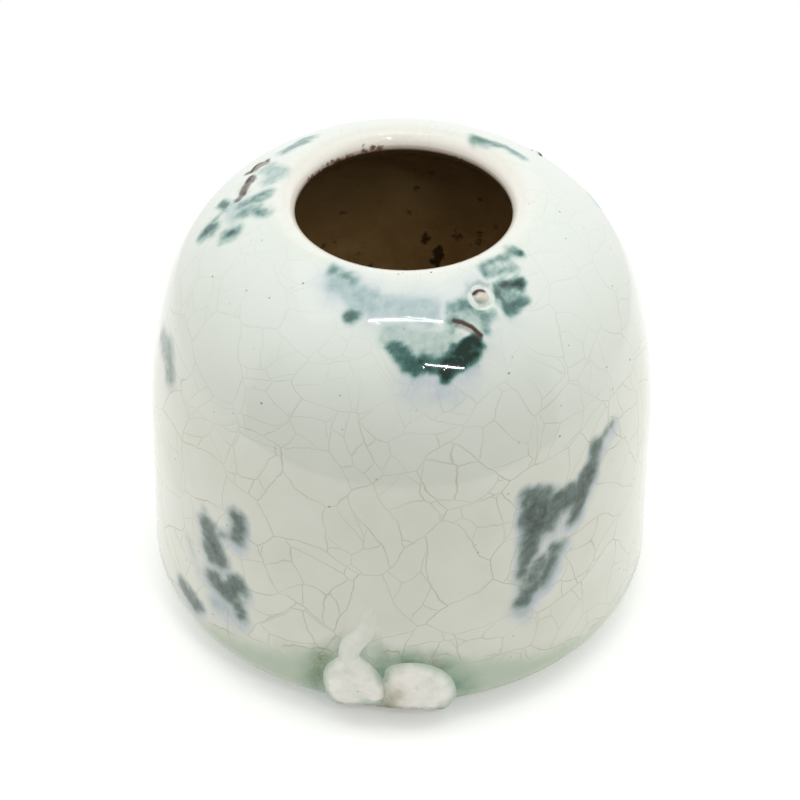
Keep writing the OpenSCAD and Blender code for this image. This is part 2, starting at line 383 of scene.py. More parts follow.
relief_trees = []
lobe_trees = []
for i, foot in enumerate(FEET):
    turn = Matrix.Rotation(i * 2 * pi / len(FEET) - FEET_TURN, 3, "Z")
    left = pressed_lobe(LEFT_LOBE, LEFT_SIDE, LEFT_TOE, LEFT_PRESS)
    right = pressed_lobe(RIGHT_LOBE, RIGHT_SIDE, RIGHT_TOE, RIGHT_PRESS)
    for part, bm, presses, toe, veil_top, veil in (
        ("left_lobe", left, LEFT_PRESS, LEFT_TOE, LOBE_VEIL_TOP, 0),
        ("right_lobe", right, RIGHT_PRESS, RIGHT_TOE, LOBE_VEIL_TOP, 0),
        ("stalk", curled_stalk(), (), BODY_R, STALK_VEIL_TOP, STALK_VEIL),
    ):
        bmesh.ops.rotate(bm, matrix=turn, verts=bm.verts)
        relief_trees.append(BVHTree.FromBMesh(bm))
        if presses:
            lobe_trees.append(relief_trees[-1])
        lump = finished(f"{foot}_{part}_pressed", bm, relief_white, "white_relief", f"{foot}_{part}")
        points = corners(lump) @ np.array(turn)
        sunk = np.zeros(len(points))
        for run, spread, depth in presses:
            sunk += max(0, -depth / DEEPEST) * pressed_share(points, run, spread)
        stand_out = (np.linalg.norm(points[:, :2], axis=1) - BODY_R) / MM
        climbed = np.clip((points[:, 2] - STALK_ROOT) / (2 * STALK_BEND * sin(STALK_TURN)), 0, 1)
        veiled = veil + STALK_VEIL_RISE * climbed * bool(veil)
        give(lump, "hollow", np.clip(np.maximum(sunk, EDGE_VEIL - stand_out / veil_top), veiled, 1))
        give(lump, "tan_stain", pressed_share(points, TAN_STAIN, TAN_SPREAD) * bool(presses))
        toe_gap = points[:, 1] + toe + TOE_SLOPE * points[:, 2]
        give(lump, "kiln_scar", np.clip(1 - toe_gap / SCAR_WIDTH, 0, 1))


# Inner coat: thin iron-brown slip, swilled round the inside up to the narrowest place of the mouth.
# It dried unevenly, so it is blotched, with darker spots and only a dull gloss.
CLAY_WALL = 5.6 * MM
COAT_T = 0.4 * MM
WALL_TOP = 40 * MM
HAUNCH_R = 105 * MM
HAUNCH_TURN = radians(15.5)
SHOULDER_R = 29 * MM
SHOULDER_END = radians(54.5)
CROWN_R = 56 * MM
MOUTH_R = 20 * MM
LIP_R = CLAY_WALL / 2
COAT_ANGLE = radians(185)
# Pitch of the mesh along the coat's face and its lip, and its columns round the pot
COAT_PITCH = 1 * MM
COAT_LIP_PITCH = 0.4 * MM
COAT_COLUMNS = 180


def heading(angle):
    """Unit step at an angle up from the outward direction."""
    return Vector((cos(angle), sin(angle)))


HAUNCH_MID = Vector((BODY_R - HAUNCH_R, WALL_TOP))
SHOULDER_MID = HAUNCH_MID + (HAUNCH_R - SHOULDER_R) * heading(HAUNCH_TURN)
CROWN_MID = SHOULDER_MID + (SHOULDER_R - CROWN_R) * heading(SHOULDER_END)
lip_reach = CROWN_R - LIP_R - GLAZE_T
LIP_TURN = acos((MOUTH_R + LIP_R + GLAZE_T - CROWN_MID.x) / lip_reach)
LIP_MID = CROWN_MID + lip_reach * heading(LIP_TURN)
DOME_BENDS = (
    (HAUNCH_MID, HAUNCH_TURN),
    (SHOULDER_MID, SHOULDER_END - HAUNCH_TURN),
    (CROWN_MID, LIP_TURN - SHOULDER_END),
)


def draw_line(bm, end, radius, height, pitch):
    """Carries an outline straight on from its end vertex, in even steps."""
    start, goal = end.co.copy(), Vector((radius, 0, height))
    steps = max(1, round((goal - start).length / pitch))
    for step in range(steps):
        end = bmesh.ops.extrude_vert_indiv(bm, verts=[end])["verts"][0]
        end.co = start.lerp(goal, (step + 1) / steps)
    return end


def draw_arc(bm, end, middle, turn, pitch):
    """Carries an outline on from its end vertex, round a middle."""
    cent = Vector((middle.x, 0, middle.y))
    steps = max(2, round(abs(turn) * (end.co - cent).length / pitch))
    spun = bmesh.ops.spin(bm, geom=[end], cent=cent, axis=(0, -1, 0), angle=turn, steps=steps)
    return next(part for part in spun["geom_last"] if isinstance(part, bmesh.types.BMVert))


def draw_side_up(bm, end, pitch):
    """Draws the pot's side from its lower edge up to its lip."""
    end = draw_arc(bm, end, EDGE_MID, pi / 2, pitch)
    end = draw_line(bm, end, end.co.x, WALL_TOP, pitch)
    for middle, turn in DOME_BENDS:
        end = draw_arc(bm, end, middle, turn, pitch)
    return end


def draw_side_down(bm, end, pitch):
    """Draws the pot's side from its lip down to its lower edge."""
    for middle, turn in reversed(DOME_BENDS):
        end = draw_arc(bm, end, middle, -turn, pitch)
    end = draw_line(bm, end, end.co.x, EDGE_MID.y, pitch)
    return draw_arc(bm, end, EDGE_MID, -pi / 2, pitch)


def turn_on_wheel(bm, columns):
    """Spins an outline into a full turn of the wheel."""
    bmesh.ops.spin(
        bm, geom=bm.verts[:] + bm.edges[:], axis=(0, 0, 1), angle=2 * pi, steps=columns, use_merge=True
    )


# Soot blots on the far wall: degrees round from the front and mm up, spread in mm, and how dark
SOOT_BLOTS = (
    ([(170, 46.6), (171, 43)], 1.4, 1.2),
    ([(174, 50.6), (174, 48.4)], 0.9, 1.1),
    ([(167, 46.4)], 0.8, 1.0),
    ([(165, 53.2), (165, 50.4)], 1.3, 0.9),
    ([(159, 53), (158, 50.6)], 1.5, 0.9),
    ([(-172, 54.2), (-172, 53.2)], 0.9, 0.9),
    ([(-161, 50.4), (-161, 49.8)], 0.9, 1.1),
    ([(179, 56.2), (178, 55)], 1.1, 0.8),
    ([(-174, 66.2), (-168, 66)], 0.7, 1.0),
    ([(-179, 49.3)], 0.6, 0.9),
    ([(172, 54.2)], 0.8, 0.8),
)
floor_z = BASE_Z + GLAZE_T + CLAY_WALL
bm = bmesh.new()
middle_of_floor = bm.verts.new((0, 0, floor_z))
end = draw_line(bm, middle_of_floor, EDGE_MID.x, floor_z, 4 * COAT_PITCH)
end = draw_side_up(bm, end, 2 * COAT_PITCH)
end = draw_arc(bm, end, LIP_MID, COAT_ANGLE - LIP_TURN - pi, COAT_LIP_PITCH)
lip_edge = LIP_MID + (LIP_R + COAT_T) * heading(COAT_ANGLE)
end = draw_line(bm, end, lip_edge.x, lip_edge.y, COAT_T)
end = draw_arc(bm, end, LIP_MID, LIP_TURN + pi - COAT_ANGLE, COAT_LIP_PITCH)
end = draw_side_down(bm, end, COAT_PITCH)
draw_line(bm, end, 0, floor_z + COAT_T, 2 * COAT_PITCH)
turn_on_wheel(bm, COAT_COLUMNS)

# Iron-brown slip under a thin glaze: semi-matt and blotched, with soot-dark spots; painted light makes it
# lighter low down and darker towards the mouth, and a band of painted shade lies under the lip
brown_slip, tree, shader, place = new_finish("iron_brown_slip", roughness=0.42, ior=1.45)
blotch = add(tree, "TexNoise", {"Vector": place, "Scale": 1 / (7 * MM), "Detail": 6, "Roughness": 0.68})
slip = add(tree, "Mix", {0: blotch, 6: linear("#7E653B"), 7: linear("#B29768")})
height = add(tree, "SeparateXYZ", {"Vector": place}).outputs["Z"]
# Painted light and shade: the slip's colour is brightened low inside the pot and darkened up towards the
# mouth
painted_light_by_height = add(
    tree,
    "MapRange",
    {"Value": height, "From Min": 36 * MM, "From Max": 68 * MM, "To Min": 1.85, "To Max": 0.52},
)
slip_with_painted_light = add(tree, "Mix", {0: 1, 6: slip, 7: painted_light_by_height}, blend_type="MULTIPLY")
ragged = add(tree, "TexNoise", {"Vector": place, "Scale": 1 / (1.6 * MM), "Detail": 4, "Roughness": 0.7})
shaken = add(
    tree, "VectorMath", {0: ragged.outputs["Color"], 1: [3 * MM] * 3, 2: place}, operation="MULTIPLY_ADD"
)
spots = add(tree, "TexVoronoi", {"Vector": shaken, "Scale": 1 / (4.4 * MM)})
spot = add(tree, "MapRange", {"Value": spots, "From Min": 0.06, "From Max": 0.2, "To Min": 1.2, "To Max": 0})
spot_chance = add(tree, "SeparateXYZ", {"Vector": spots.outputs["Color"]}).outputs["X"]
spot_amount = add(tree, "Math", {0: spot, 1: spot_chance}, operation="MULTIPLY")
spotted = add(tree, "Mix", {0: spot_amount, 6: slip_with_painted_light, 7: linear("#2A1C0E")})
soot = add(tree, "Attribute", attribute_name="soot").outputs["Fac"]
soot_ragged = add(tree, "Math", {0: soot, 1: 0.55, 2: ragged}, operation="MULTIPLY_ADD")
soot_there = add(tree, "MapRange", {"Value": soot_ragged, "From Min": 0.74, "From Max": 0.92, "To Max": 0.9})
blotted = add(tree, "Mix", {0: soot_there, 6: spotted, 7: linear("#1C1208")})
# Painted shade: a dark band just under the lip, where the lip shades the inside
under_lip_shade_band = add(tree, "MapRange", {"Value": height, "From Min": 76 * MM, "From Max": 83 * MM, "To Max": 0.9})
slip_with_lip_shade = add(tree, "Mix", {0: under_lip_shade_band, 6: blotted, 7: linear("#3E2C1A")})
bump = add(tree, "Bump", {"Height": blotch, "Distance": 0.3 * MM})
feed(shader, {"Base Color": slip_with_lip_shade, "Normal": bump})
coat = finished("brown_slip_coat", bm, brown_slip, "brown_coat", "inner_glaze")
points = corners(coat)
blot_r = BODY_R - GLAZE_T - CLAY_WALL - COAT_T
sooted_there = np.zeros(len(points))
for run, spread, strength in SOOT_BLOTS:
    blot_run = np.array([(blot_r * sin(radians(a)), -blot_r * cos(radians(a)), up * MM) for a, up in run])
    off = gap(points, blot_run) / (spread * MM)
    sooted_there = np.maximum(sooted_there, strength * np.exp(-(off**2)))
give(coat, "soot", sooted_there)


# Outer glaze: one pale greenish-white coat from under the lower edge up and over the lip, crazed all over.
# Cobalt washes were brushed on under it, burst in places and ran blue; the glaze pooled green at the feet.
GLAZE_RETURN = 2 * MM
# Pitch of the mesh along the glaze's face and lip, then on its hidden back, and its columns round the pot
ROW_PITCH = 0.8 * MM
LIP_PITCH = 0.45 * MM
BACK_PITCH = 5 * MM
BACK_LIP_PITCH = 1.2 * MM
GLAZE_COLUMNS = 440
bare_r = EDGE_MID.x - GLAZE_RETURN
bm = bmesh.new()
first = bm.verts.new((bare_r, 0, BASE_Z))
end = draw_line(bm, first, EDGE_MID.x, BASE_Z, ROW_PITCH)
end = draw_side_up(bm, end, ROW_PITCH)
end = draw_arc(bm, end, LIP_MID, COAT_ANGLE - LIP_TURN, LIP_PITCH)
outline = np.array([(v.co.x, v.co.z) for v in bm.verts])
lip_edge = LIP_MID + LIP_R * heading(COAT_ANGLE)
end = draw_line(bm, end, lip_edge.x, lip_edge.y, GLAZE_T)
end = draw_arc(bm, end, LIP_MID, LIP_TURN - COAT_ANGLE, BACK_LIP_PITCH)
end = draw_side_down(bm, end, BACK_PITCH)
end = draw_line(bm, end, bare_r, BASE_Z + GLAZE_T, GLAZE_RETURN)
bm.edges.new((end, first))
turn_on_wheel(bm, GLAZE_COLUMNS)

# Burst bubbles of the wash: degrees round from the front, mm up the outline, radius, rim and depth in mm
BURSTS = (
    (28.3, 95.6, 1.95, 0.5, 0.5),
    (-118, 94, 2.0, 0.25, 0.22),
    (-103, 94.7, 2.2, 0.25, 0.22),
    (132, 90, 1.4, 0.3, 0.2),
)
# Brown burnt edges of the bursts: places on the pot, half width in mm, and how dark
BURNS = (
    ([(26.5, 96.6), (28.2, 96.9), (29.8, 96.5)], 0.55, 1.2),
    ([(16.6, 92.4), (18.8, 91.9), (21.4, 90.7), (23.4, 88.8)], 0.42, 1.25),
    ([(17.2, 91.6), (19, 91.1), (21, 90), (22.8, 88.4)], 0.5, 0.5),
    ([(-114.5, 92.6), (-117.5, 93.2), (-121, 94.6)], 0.9, 0.95),
    ([(-116, 94), (-119.5, 95.4)], 0.8, 0.6),
    ([(-97, 94), (-101.5, 94.8), (-108.5, 95.2)], 0.9, 0.8),
    ([(-105, 94), (-110, 94.6)], 0.7, 1.0),
    ([(134, 89.8), (130, 90.2)], 0.5, 1.0),
)
# Middle of the long burnt arc beside the large mark, where the mesh is finer too
BURNT_ARC = (20.2, 90.8)
# The large mark on the shoulder: places on the pot, half width in mm, and how dark
LARGE_MARK = (
    ([(-1, 87.6), (0.9, 86.2), (2.6, 85)], 2.3, 0.82),
    ([(1, 88)], 0.9, 1.2),
    ([(3.2, 85), (3.8, 84.3)], 1.8, 0.92),
    ([(5, 85.2), (8.5, 85), (12, 84.6)], 1.9, 0.95),
    ([(11.8, 84), (12.2, 83.4)], 2.1, 1.1),
    ([(14.6, 84.4), (18, 85.7), (20.4, 87.4)], 2.3, 1.15),
    ([(20.6, 87.4), (21.8, 88.4)], 1.7, 1.0),
    ([(16, 87), (13.5, 85.7)], 1.7, 0.75),
)
# Smaller brush marks on the shoulder, as above
SHOULDER_MARKS = (
    ([(-2, 89.5), (6.5, 89), (13.5, 88.5)], 3.2, 0.4),
    ([(9, 89), (11.5, 90)], 0.9, 0.55),
    ([(14.5, 90.5), (16.5, 93), (21.5, 93.5), (25.5, 92), (26.5, 89.5)], 1.2, 0.65),
    ([(17.5, 95), (22, 95), (25.5, 93.5), (27.5, 91.5)], 1.7, 0.7),
    ([(23.5, 96.5), (26, 97.8), (30.5, 98.3), (33.5, 97.5)], 0.7, 0.5),
    ([(36.5, 96), (33.5, 94), (34.5, 92), (37.5, 91.5), (41.5, 92.5)], 1.4, 0.9),
    ([(36, 93.6), (39, 93.4)], 2.0, 0.62),
    ([(39, 96), (44, 95.5)], 1.2, 1.3),
    ([(34, 100.5), (40, 101), (47.5, 100.5), (53.5, 100.5)], 1.0, 0.85),
    ([(35, 99.5), (41.5, 99), (46.5, 98.5)], 1.0, 0.75),
    ([(54, 100)], 0.8, 1.3),
    ([(-31, 100), (-25, 100), (-18, 100)], 1.0, 0.8),
    ([(-31, 100.4), (-28, 100.2)], 0.8, 0.9),
    ([(-18, 92.8), (-15.5, 93.6)], 0.9, 1.2),
    ([(-25.5, 98.5), (-18.5, 97), (-11, 96)], 2.8, 0.42),
    ([(-4, 95.6), (8, 94.8)], 3.0, 0.38),
    ([(-26, 95.4), (-12, 94.4), (4, 93.2)], 0.2, 0.5),
    ([(-115, 97), (-109, 101), (-102, 100)], 2.4, 0.42),
    ([(-91.5, 95), (-92.5, 97.5), (-92, 100.5)], 1.6, 0.62),
    ([(-93, 95.4), (-93.6, 97.8), (-92.6, 100.8)], 0.35, 1.2),
    ([(-87, 95), (-85.5, 98.5), (-81, 100)], 1.9, 0.62),
    ([(-86.5, 96.4), (-84.5, 98.8), (-81, 99.6)], 0.5, 1.1),
    ([(-94, 93), (-87, 93.6)], 2.6, 0.34),
    ([(-99, 89.5), (-97, 91)], 1.4, 0.9),
    ([(-92, 88.5), (-93.5, 90), (-94, 91.6)], 0.5, 1.0),
    ([(-89.5, 86.5), (-88.5, 88.5)], 2.2, 0.6),
    ([(-89.8, 86.8), (-89.4, 87.8)], 1.1, 1.2),
    ([(-81, 91), (-79.5, 93.5)], 2.0, 0.6),
    ([(-80.6, 91.6), (-80, 92.8)], 1.0, 1.1),
    ([(-128, 97), (-132, 98.5), (-139, 97.5)], 2.2, 0.7),
    ([(145, 103), (138, 102), (132, 100.5), (123.5, 99)], 1.8, 0.66),
    ([(146, 103.4), (139, 102.6), (133, 101.4)], 0.6, 1.0),
    ([(112, 85), (107, 84)], 1.2, 0.6),
)
# A blurred mark on the haunch, as above
HAUNCH_MARKS = (([(-78, 65.6), (-72, 66.6), (-68.6, 63.6)], 2.2, 0.62),)
# Brush marks on the wall, which the painter repeated on the far side
WALL_MARKS = (
    ([(-49, 43), (-48.4, 40)], 1.2, 0.5),
    ([(-48, 39.5), (-46.8, 36.4), (-45.4, 33.8)], 3.0, 0.85),
    ([(-46.4, 36), (-45.8, 34.6)], 1.6, 1.05),
    ([(-38.8, 46.4), (-38, 44.6)], 2.1, 0.9),
    ([(-38.4, 43), (-39, 41.6)], 1.9, 0.85),
    ([(-45, 39.2), (-42, 41), (-39.5, 42.4)], 1.4, 0.6),
    ([(-46.4, 27.4), (-44.2, 26.4), (-41.4, 27)], 2.8, 0.85),
    ([(-39.4, 30.4), (-38.4, 29.2)], 2.4, 0.85),
    ([(-43.5, 26.6), (-40, 28.4)], 2.3, 0.95),
    ([(-39.8, 25.2), (-38.6, 22.8)], 2.0, 0.75),
    ([(-47, 21), (-43, 21.6)], 1.6, 0.4),
    ([(-51.5, 26.5), (-49, 29)], 1.5, 0.28),
    ([(-60, 18), (-56, 17), (-53.5, 16.9)], 1.9, 0.9),
    ([(-55.5, 32), (-54, 29.5)], 1.4, 0.3),
    ([(56, 60.6), (50.5, 58.8)], 1.0, 0.75),
    ([(50.5, 58.8), (47.2, 55.4)], 1.6, 0.9),
    ([(47, 55), (45, 52), (43, 49)], 2.4, 1.0),
    ([(43, 49.4), (41.6, 46.6)], 1.8, 0.95),
    ([(41, 51.4), (37, 51.2)], 2.9, 0.9),
    ([(29.8, 55.2), (33, 54.8)], 2.4, 0.85),
    ([(35, 54.2)], 1.8, 0.7),
    ([(31.5, 52), (31, 48)], 3.2, 1.0),
    ([(35, 50), (34.4, 47.6)], 2.4, 0.9),
    ([(30.5, 47.5), (29.6, 43)], 2.3, 0.95),
    ([(29.3, 42.5), (28.3, 38)], 1.7, 0.9),
    ([(37, 41), (35.4, 37.6), (33.6, 34.2)], 1.8, 0.9),
    ([(33.4, 34.2), (30.4, 33.2), (28, 30.8)], 1.8, 0.9),
    ([(28.3, 38), (29, 35), (29, 33)], 1.4, 0.7),
    ([(32.4, 38.6), (31.2, 35.2)], 1.9, 0.8),
    ([(26.5, 29.8), (29.5, 27.5)], 0.9, 0.4),
)
# How far the cobalt of the marks ran down in the fire, and how it and the burns fade out, in mm
RUN_DOWN = 1.2
RUN_SOFT = 2
BURN_SOFT = 0.3
# Blue clouds where the cobalt ran: places on the pot, spread in mm, and how strong
SHOULDER_CLOUDS = (
    ([(3, 81.5), (12, 80.5), (17, 82.5)], 3.0, 0.95),
    ([(18, 97.5), (30, 99)], 2.5, 0.45),
    ([(26, 87), (34, 89)], 3.0, 0.3),
    ([(-27, 98), (-10, 96)], 3.6, 1.0),
    ([(-8, 95), (10, 95.5)], 3.6, 0.95),
    ([(-113, 98.6), (-107, 100.6)], 2.4, 0.4),
    ([(-95, 93.5), (-88, 94.5)], 2.4, 0.45),
)
WALL_CLOUDS = (
    ([(-46, 22), (-41, 20)], 3.0, 0.6),
    ([(-39, 39)], 2.4, 0.4),
    ([(38, 40), (30, 29)], 2.6, 0.45),
)
# Rust along the inside of the lip: places, spread in mm, and how thick
LIP_RUST = (
    ([(-116, 108.6), (-134, 108.3), (-150, 107.9), (-166, 107)], 1.25, 1.2),
    ([(154, 107.8), (134, 108.2)], 0.6, 0.9),
    ([(112, 108.4), (100, 108.4)], 0.6, 0.9),
)
# Olive kiln dust beside each foot: places from the foot's middle, spread in mm, and how thick
KILN_DUST = (
    ([(-15, 19), (-15.5, 14)], 2.2, 1.0),
    ([(10, 20), (11.5, 18.5)], 1.4, 0.9),
    ([(-3, 21), (6, 20.5)], 2.0, 0.4),
)
lengths = np.concatenate([[0], np.cumsum(np.linalg.norm(np.diff(outline, axis=0), axis=1))])
# The outline's measure starts where the rounded lower edge does, inside the glaze's return
lengths -= GLAZE_RETURN


def on_pot(run):
    """Places of a run on the glazed face, from degrees round it and millimetres up its outline."""
    angles = np.radians([angle for angle, _ in run])
    radius = np.interp([up * MM for _, up in run], lengths, outline[:, 0])
    height = np.interp([up * MM for _, up in run], lengths, outline[:, 1])
    return np.column_stack([radius * np.sin(angles), -radius * np.cos(angles), height])


# No foot reaches higher than this
FEET_TOP = 36 * MM


def foot_gap(lumps, spot, reach):
    """Distance of a spot on the glaze from the nearest of some lumps of the feet, at most a given reach."""
    found = [lump.find_nearest(spot, reach) for lump in lumps] if spot.z < FEET_TOP else []
    return min((distance for near, _, _, distance in found if near), default=reach)


# Glaze gathers against the feet in a fillet, which the fire smoothed
FILLET = 3.2 * MM
FILLET_RISE = 1.0 * MM
FILLET_SMOOTHINGS = 5
# The mesh is finer this close to a burst, and a burst's shape goes by shares of its radius
FINE_REACH = 4.5 * MM
RIM_SPREAD = 0.28
BOWL_SHARE = 0.85
burst_places = [Vector(on_pot([(angle, up)])[0]) for angle, up, *_ in BURSTS]
fine_places = burst_places + [Vector(on_pot([BURNT_ARC])[0])]
fine_edges = [
    edge
    for edge in bm.edges
    if any((edge.verts[0].co.lerp(edge.verts[1].co, 0.5) - spot).length < FINE_REACH for spot in fine_places)
]
bmesh.ops.subdivide_edges(bm, edges=fine_edges, cuts=2, use_grid_fill=True)
bm.normal_update()
beside_feet = []
for vertex in bm.verts:
    outward = vertex.normal.copy()
    for spot, (_, _, radius, rim, depth) in zip(burst_places, BURSTS):
        share = (vertex.co - spot).length / (radius * MM)
        if share < 2:
            ring = rim * np.exp(-(((share - 1) / RIM_SPREAD) ** 2))
            bowl = depth * max(0, 1 - (share / BOWL_SHARE) ** 2)
            vertex.co += outward * (ring - bowl) * MM
    off = foot_gap(relief_trees, vertex.co, 2 * FILLET) if outward.dot(vertex.co) > 0 else 2 * FILLET
    if off < 2 * FILLET:
        beside_feet.append(vertex)
        vertex.co += outward * FILLET_RISE * max(0, 1 - off / FILLET) ** 2
for _ in range(FILLET_SMOOTHINGS):
    bmesh.ops.smooth_vert(
        bm, verts=beside_feet, factor=0.5, use_axis_x=True, use_axis_y=True, use_axis_z=True
    )

# Crackled celadon glaze: glassy and thick, crazed in cells whose cracks took up tea-brown stain
GLAZE_ROUGHNESS = 0.05
crackle_glaze, tree, shader, place = new_finish("crackled_celadon_glaze", roughness=GLAZE_ROUGHNESS, ior=1.5)
glaze = finished("crackled_glaze", bm, crackle_glaze, "crackle_glaze", "outer_glaze")
points = corners(glaze)

# Wet colour crept unevenly: how far, and over what lengths
CREEP = ((1.0 * MM, 4.5 * MM), (0.55 * MM, 1.6 * MM))
CREEP_SEED = 3
noise.seed_set(CREEP_SEED)
crept = points.copy()
for reach, length in CREEP:
    crept += reach * np.array([noise.noise_vector(Vector(p) / length) for p in points])


def brushed(marks, soft_in, soft_out, shift=0, spread_by=crept):
    """How thick the colour of brush marks lies at each point, fading out across their edges."""
    thick = np.zeros(len(points))
    for run, half_width, dark in marks:
        off = gap(spread_by, on_pot([(angle + shift, up) for angle, up in run])) / MM - half_width
        share = np.clip((soft_out - off) / (soft_in + soft_out), 0, 1)
        thick = np.maximum(thick, dark * share * share * (3 - 2 * share))
    return thick


def clouded(clouds, shift=0):
    """How strong soft clouds are at each point."""
    strong = np.zeros(len(points))
    for run, spread, strength in clouds:
        off = gap(points, on_pot([(angle + shift, up) for angle, up in run])) / (spread * MM)
        strong = np.maximum(strong, strength * np.exp(-(off**2)))
    return strong


# Groups of marks: how far in and out their edges fade, in mm, and the turn of each round the pot
wash = np.zeros(len(points))
for marks, soft_in, soft_out, shift in (
    (WALL_MARKS, 1.8, 1.9, 0),
    (WALL_MARKS, 1.8, 1.9, 180),
    (SHOULDER_MARKS, 1.5, 1.3, 0),
    (LARGE_MARK, 1.0, 0.9, 0),
    (HAUNCH_MARKS, 1.6, 3, 0),
):
    wash = np.maximum(wash, brushed(marks, soft_in, soft_out, shift))
ran_down = [([(a, up - RUN_DOWN) for a, up in run], wide, dark) for run, wide, dark in WALL_MARKS]
give(glaze, "wash_run", np.maximum(brushed(ran_down, 0, RUN_SOFT), brushed(ran_down, 0, RUN_SOFT, 180)))
give(glaze, "burn", brushed(BURNS, BURN_SOFT, BURN_SOFT, spread_by=points))
give(glaze, "cobalt_cloud", np.maximum(clouded(SHOULDER_CLOUDS + WALL_CLOUDS), clouded(WALL_CLOUDS, 180)))
give(glaze, "lip_rust", clouded(LIP_RUST))
feet_turns = [i * 360 / len(FEET) - np.degrees(FEET_TURN) for i in range(len(FEET))]
give(glaze, "kiln_dust", np.max([clouded(KILN_DUST, foot_turn) for foot_turn in feet_turns], axis=0))
# A burst deeper than this, in mm, is open: its floor is bare, and its rim pushed the wash aside.
# Both reach as far as these shares of its radius
OPEN_DEPTH = 0.2
FLOOR_SHARE = 0.75
RIM_SHARE = 0.3
burst_floor = np.zeros(len(points))
for spot, (_, _, radius, _, depth) in zip(burst_places, BURSTS):
    share = np.linalg.norm(points - np.array(spot), axis=1) / (radius * MM)
    is_open = depth > OPEN_DEPTH
    burst_floor = np.maximum(burst_floor, np.clip(1 - (share / FLOOR_SHARE) ** 4, 0, 1) * is_open)
    wash *= 1 - np.exp(-(((share - 1) / RIM_SHARE) ** 4)) * is_open
give(glaze, "burst_floor", burst_floor)
give(glaze, "wash", wash)

# Crazing map: height up the pot's face, stretched where the face is narrower, so that its shapes stay true
crest = outline[:, 1].argmax()
face_r, face_z = outline[:crest].T
unrolled = np.concatenate([[0], np.cumsum(2 * np.diff(lengths[:crest]) / (face_r[1:] + face_r[:-1]))])
give(glaze, "climb", np.interp(points[:, 2], face_z, unrolled) * BODY_R / MM)
give(glaze, "stretch", BODY_R / np.interp(points[:, 2], face_z, face_r))
# The pool's top edge and a thin brown line under it, low on the rounded lower edge, in mm up: middle height,
# and wave from foot to foot
POOL_TOP = 15.5
POOL_WAVE = 4.5
LOW_LINE_TOP = 5.3
LOW_LINE_WAVE = 1.1
LOW_LINE_SPREAD = 0.8 * MM
# The glaze is deepest this close to a lobe
DEEP_REACH = 5 * MM
to_feet = np.cos(len(FEET) * (np.arctan2(points[:, 0], -points[:, 1]) + FEET_TURN))
give(glaze, "pool", ((POOL_TOP + POOL_WAVE * to_feet) * MM - points[:, 2]) / MM)
low_line_height = (LOW_LINE_TOP - LOW_LINE_WAVE * to_feet) * MM
give(glaze, "low_brown_line", np.exp(-(((points[:, 2] - low_line_height) / LOW_LINE_SPREAD) ** 2)))
give(glaze, "near_foot", [1 - foot_gap(lobe_trees, Vector(p), DEEP_REACH) / DEEP_REACH for p in points])

# Two ages of cracks: pitch of their cells in mm, how strong they show, and the share of older cells parted
CRACK_AGES = ((11.5, 1.0, 1), (7.4, 0.85, 0.66))
CRACK_WIDTH = 0.17
# Younger cracks fade out this close to an older one, in mm
CRACK_CLEAR = 0.5
# Cracks sway over a long stretch and jag over a short one: its length, and how far they go astray in mm
SWAY_SIZE = 20 * MM
SWAY = 4.5
JAG_SIZE = 3.5 * MM
JAG = 0.4
# Each older cell takes its younger cracks from another part of the pattern, up to this many mm away
CELL_SHIFT = 90
PINHOLE_PITCH = 3.2 * MM
BURN_ROUGHNESS = 0.45
# What the mesh carries for its finish
GLAZE_MAPS = ("climb", "stretch", "pool", "near_foot", "kiln_dust", "low_brown_line", "lip_rust")
WASH_MAPS = ("cobalt_cloud", "wash_run", "wash", "burst_floor", "burn")
carried = {
    name: add(tree, "Attribute", attribute_name=name).outputs["Fac"]
    for name in GLAZE_MAPS + WASH_MAPS
}
axes = add(tree, "SeparateXYZ", {"Vector": place}).outputs

cloud = add(tree, "TexNoise", {"Vector": place, "Scale": 1 / (24 * MM), "Detail": 3})
pale = add(tree, "Mix", {0: cloud, 6: linear("#E5EBE4"), 7: linear("#DBE2D9")})
lower = add(tree, "MapRange", {"Value": axes["Z"], "From Min": 86 * MM, "From Max": 54 * MM})
mottle = add(tree, "TexNoise", {"Vector": place, "Scale": 1 / (9 * MM), "Detail": 3})
mottled = add(tree, "Mix", {0: mottle, 6: linear("#E3E5DA"), 7: linear("#D4D6C7")})
warmed = add(tree, "Mix", {0: lower, 6: pale, 7: mottled})
flat = add(tree, "CombineXYZ", {"X": axes["X"], "Y": axes["Y"]})
from_axis = add(tree, "VectorMath", {0: flat}, operation="LENGTH")
# Bands round the mouth: how far out from its narrowest place each is full and ends, and how strong it is
MOUTH_BANDS = ((1 * MM, 6 * MM, 0.85), (0.5 * MM, 2 * MM, 1), (0.02 * MM, 0.12 * MM, 0.45))
bands = []
for full, end, strong in MOUTH_BANDS:
    band = {"From Min": MOUTH_R + full, "From Max": MOUTH_R + end, "To Min": strong, "To Max": 0}
    bands.append(add(tree, "MapRange", {"Value": from_axis, **band}))
thin_glaze, lip_painted_light_band, scorch = bands
creamy = add(tree, "Mix", {0: thin_glaze, 6: warmed, 7: linear("#E5E3D9")})
# The second band is painted light: it whitens the inner round of the lip, where the dark mouth shades it
lip_with_painted_light = add(tree, "Mix", {0: lip_painted_light_band, 6: creamy, 7: linear("#FBF7EC")})

